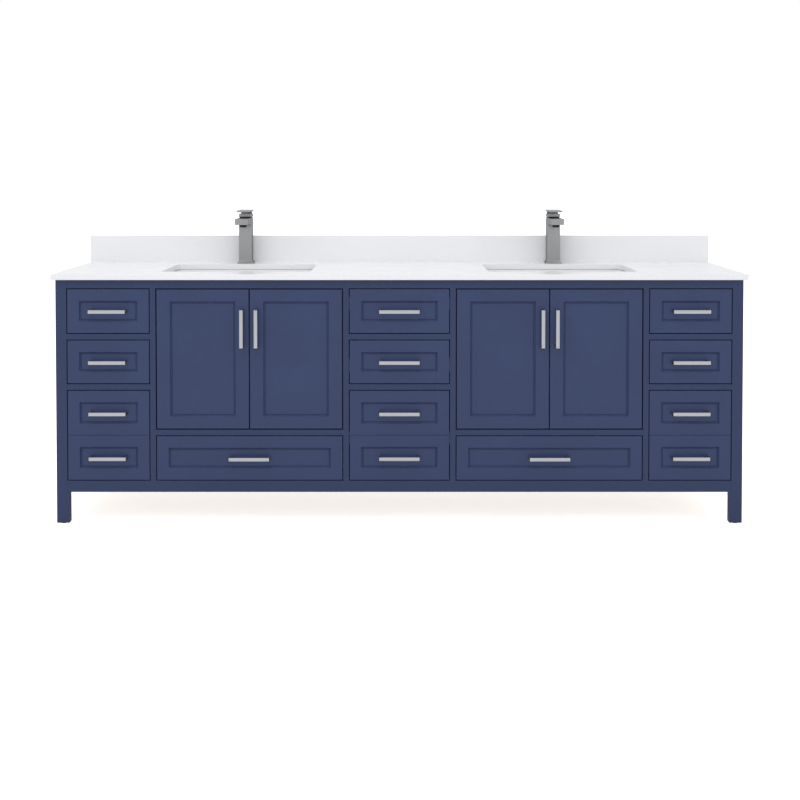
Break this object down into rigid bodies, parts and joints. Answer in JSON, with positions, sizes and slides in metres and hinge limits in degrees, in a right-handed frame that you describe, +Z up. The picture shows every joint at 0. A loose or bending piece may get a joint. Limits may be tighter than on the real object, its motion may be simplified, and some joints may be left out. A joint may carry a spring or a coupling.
{
  "type": "bathroom vanity cabinet",
  "caption": "Wide freestanding bathroom vanity: painted face-frame case on legs, inset drawers and doors, stone worktop, undermount basins and square lever taps.",
  "frame": {"origin": "on the floor at the middle of the cabinet's box", "axes": "+X to the right along the worktop, +Y from the doors to the wall, +Z up"},
  "size_m": [2.4384, 0.5768, 1.087],
  "materials": {
    "frame_paint": "satin paint",
    "front_paint": "satin paint",
    "birch_ply": "clear lacquer",
    "stone": "polished",
    "ceramic": "gloss glaze",
    "brushed_nickel": "brushed"
  },
  "bodies": {
    "cabinet": {"face_frame": "frame_paint", "floor_and_back": "birch_ply", "countertop": "stone", "backsplash": "stone", "side_panel_left": "frame_paint", "bay_case_left": "birch_ply", "basin_left": "ceramic", "faucet_body_left": "brushed_nickel", "side_panel_right": "frame_paint", "bay_case_right": "birch_ply", "basin_right": "ceramic", "faucet_body_right": "brushed_nickel"},
    "left_top_drawer": {"left_top_drawer_front": "front_paint", "left_top_drawer_box": "birch_ply", "left_top_drawer_pull": "brushed_nickel"},
    "left_second_drawer": {"left_second_drawer_front": "front_paint", "left_second_drawer_box": "birch_ply", "left_second_drawer_pull": "brushed_nickel"},
    "left_deep_drawer": {"left_deep_drawer_front": "front_paint", "left_deep_drawer_box": "birch_ply", "left_deep_drawer_lower_pull": "brushed_nickel", "left_deep_drawer_upper_pull": "brushed_nickel"},
    "centre_top_drawer": {"centre_top_drawer_front": "front_paint", "centre_top_drawer_box": "birch_ply", "centre_top_drawer_pull": "brushed_nickel"},
    "centre_second_drawer": {"centre_second_drawer_front": "front_paint", "centre_second_drawer_box": "birch_ply", "centre_second_drawer_pull": "brushed_nickel"},
    "centre_deep_drawer": {"centre_deep_drawer_front": "front_paint", "centre_deep_drawer_box": "birch_ply", "centre_deep_drawer_lower_pull": "brushed_nickel", "centre_deep_drawer_upper_pull": "brushed_nickel"},
    "right_top_drawer": {"right_top_drawer_front": "front_paint", "right_top_drawer_box": "birch_ply", "right_top_drawer_pull": "brushed_nickel"},
    "right_second_drawer": {"right_second_drawer_front": "front_paint", "right_second_drawer_box": "birch_ply", "right_second_drawer_pull": "brushed_nickel"},
    "right_deep_drawer": {"right_deep_drawer_front": "front_paint", "right_deep_drawer_box": "birch_ply", "right_deep_drawer_lower_pull": "brushed_nickel", "right_deep_drawer_upper_pull": "brushed_nickel"},
    "left_wide_drawer": {"left_wide_drawer_front": "front_paint", "left_wide_drawer_box": "birch_ply", "left_wide_drawer_pull": "brushed_nickel"},
    "left_bay_outer_door": {"left_bay_outer_door_leaf": "front_paint", "left_bay_outer_door_pull": "brushed_nickel"},
    "left_bay_inner_door": {"left_bay_inner_door_leaf": "front_paint", "left_bay_inner_door_pull": "brushed_nickel"},
    "tap_cap_left": {"faucet_cap_left": "brushed_nickel"},
    "tap_lever_left": {"faucet_lever_left": "brushed_nickel"},
    "right_wide_drawer": {"right_wide_drawer_front": "front_paint", "right_wide_drawer_box": "birch_ply", "right_wide_drawer_pull": "brushed_nickel"},
    "right_bay_outer_door": {"right_bay_outer_door_leaf": "front_paint", "right_bay_outer_door_pull": "brushed_nickel"},
    "right_bay_inner_door": {"right_bay_inner_door_leaf": "front_paint", "right_bay_inner_door_pull": "brushed_nickel"},
    "tap_cap_right": {"faucet_cap_right": "brushed_nickel"},
    "tap_lever_right": {"faucet_lever_right": "brushed_nickel"}
  },
  "joints": [
    {"name": "left_top_drawer_slide", "type": "slide", "parent": "cabinet", "child": "left_top_drawer", "axis": [0, -1, 0], "range_m": [0, 0.42]},
    {"name": "left_second_drawer_slide", "type": "slide", "parent": "cabinet", "child": "left_second_drawer", "axis": [0, -1, 0], "range_m": [0, 0.42]},
    {"name": "left_deep_drawer_slide", "type": "slide", "parent": "cabinet", "child": "left_deep_drawer", "axis": [0, -1, 0], "range_m": [0, 0.42]},
    {"name": "centre_top_drawer_slide", "type": "slide", "parent": "cabinet", "child": "centre_top_drawer", "axis": [0, -1, 0], "range_m": [0, 0.42]},
    {"name": "centre_second_drawer_slide", "type": "slide", "parent": "cabinet", "child": "centre_second_drawer", "axis": [0, -1, 0], "range_m": [0, 0.42]},
    {"name": "centre_deep_drawer_slide", "type": "slide", "parent": "cabinet", "child": "centre_deep_drawer", "axis": [0, -1, 0], "range_m": [0, 0.42]},
    {"name": "right_top_drawer_slide", "type": "slide", "parent": "cabinet", "child": "right_top_drawer", "axis": [0, -1, 0], "range_m": [0, 0.42]},
    {"name": "right_second_drawer_slide", "type": "slide", "parent": "cabinet", "child": "right_second_drawer", "axis": [0, -1, 0], "range_m": [0, 0.42]},
    {"name": "right_deep_drawer_slide", "type": "slide", "parent": "cabinet", "child": "right_deep_drawer", "axis": [0, -1, 0], "range_m": [0, 0.42]},
    {"name": "left_wide_drawer_slide", "type": "slide", "parent": "cabinet", "child": "left_wide_drawer", "axis": [0, -1, 0], "range_m": [0, 0.42]},
    {"name": "left_bay_outer_door_hinge", "type": "hinge", "parent": "cabinet", "child": "left_bay_outer_door", "pos_m": [-0.853, -0.2564, 0.58085], "axis": [0, 0, -1], "range_deg": [0, 90]},
    {"name": "left_bay_inner_door_hinge", "type": "hinge", "parent": "cabinet", "child": "left_bay_inner_door", "pos_m": [-0.1995, -0.2564, 0.58085], "axis": [0, 0, 1], "range_deg": [0, 90]},
    {"name": "tap_left_swivel", "type": "hinge", "parent": "cabinet", "child": "tap_cap_left", "pos_m": [-0.5995, 0.2246, 1.07], "axis": [0, 0, 1], "range_deg": [-45, 45]},
    {"name": "tap_left_lift", "type": "hinge", "parent": "tap_cap_left", "child": "tap_lever_left", "pos_m": [-0.5995, 0.2426, 1.0783], "axis": [-1, 0, 0], "range_deg": [0, 25]},
    {"name": "right_wide_drawer_slide", "type": "slide", "parent": "cabinet", "child": "right_wide_drawer", "axis": [0, -1, 0], "range_m": [0, 0.42]},
    {"name": "right_bay_outer_door_hinge", "type": "hinge", "parent": "cabinet", "child": "right_bay_outer_door", "pos_m": [0.853, -0.2564, 0.58085], "axis": [0, 0, 1], "range_deg": [0, 90]},
    {"name": "right_bay_inner_door_hinge", "type": "hinge", "parent": "cabinet", "child": "right_bay_inner_door", "pos_m": [0.1995, -0.2564, 0.58085], "axis": [0, 0, -1], "range_deg": [0, 90]},
    {"name": "tap_right_swivel", "type": "hinge", "parent": "cabinet", "child": "tap_cap_right", "pos_m": [0.5995, 0.2246, 1.07], "axis": [0, 0, 1], "range_deg": [-45, 45]},
    {"name": "tap_right_lift", "type": "hinge", "parent": "tap_cap_right", "child": "tap_lever_right", "pos_m": [0.5995, 0.2426, 1.0783], "axis": [-1, 0, 0], "range_deg": [0, 25]}
  ]
}
